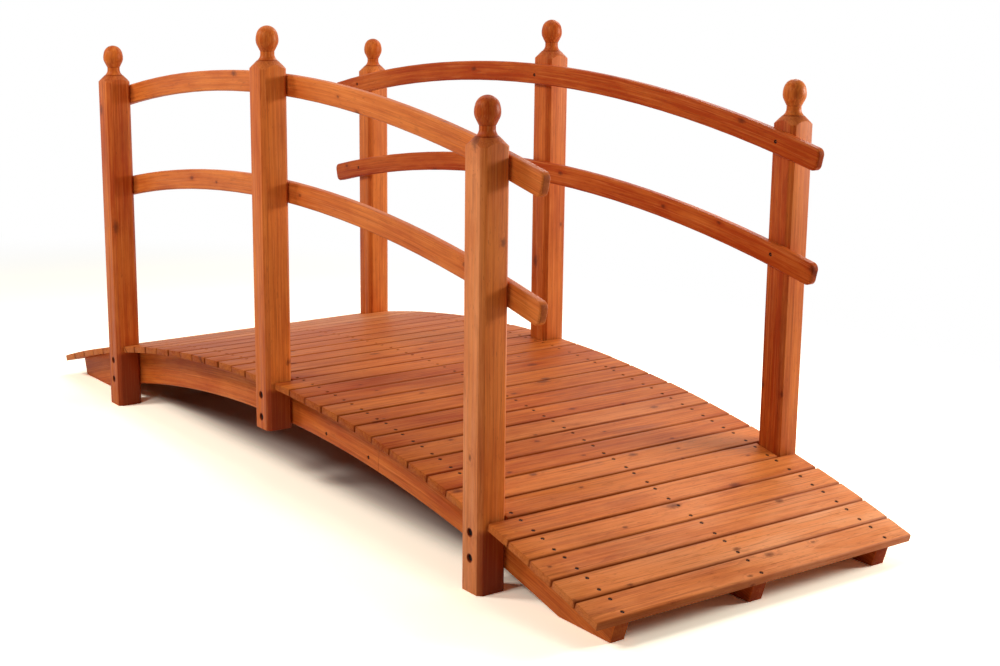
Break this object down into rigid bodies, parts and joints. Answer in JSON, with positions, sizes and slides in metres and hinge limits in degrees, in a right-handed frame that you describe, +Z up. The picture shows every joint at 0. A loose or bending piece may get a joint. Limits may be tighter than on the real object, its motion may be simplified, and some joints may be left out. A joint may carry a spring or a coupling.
{
  "type": "moon bridge",
  "caption": "Arched wooden garden footbridge with a plank deck, posts with turned ball finials and curved side rails.",
  "frame": {"origin": "on the ground under the middle of the bridge", "axes": "+X along the walk towards the near end of the picture, +Y across it away from the front railing, +Z up"},
  "size_m": [2.4298, 0.866, 1.0545],
  "materials": {
    "stringer_wood": "red-orange stain, satin",
    "post_wood": "red-orange stain, satin",
    "turned_wood": "red-orange stain, satin",
    "rail_wood": "red-orange stain, satin",
    "board_wood": "red-orange stain, satin",
    "dark_steel": "black coated steel"
  },
  "bodies": {
    "root": {"front_stringer": "stringer_wood", "middle_stringer": "stringer_wood", "back_stringer": "stringer_wood", "front_near_post": "post_wood", "front_near_finial": "turned_wood", "front_middle_post": "post_wood", "front_middle_finial": "turned_wood", "front_far_post": "post_wood", "front_far_finial": "turned_wood", "front_upper_rail": "rail_wood", "front_lower_rail": "rail_wood", "front_bolts": "dark_steel", "back_near_post": "post_wood", "back_near_finial": "turned_wood", "back_middle_post": "post_wood", "back_middle_finial": "turned_wood", "back_far_post": "post_wood", "back_far_finial": "turned_wood", "back_upper_rail": "rail_wood", "back_lower_rail": "rail_wood", "back_bolts": "dark_steel", "deck_boards_1": "board_wood", "deck_boards_2": "board_wood", "deck_boards_3": "board_wood", "deck_boards_4": "board_wood", "deck_boards_5": "board_wood", "deck_boards_6": "board_wood", "deck_boards_7": "board_wood"}
  },
  "joints": []
}
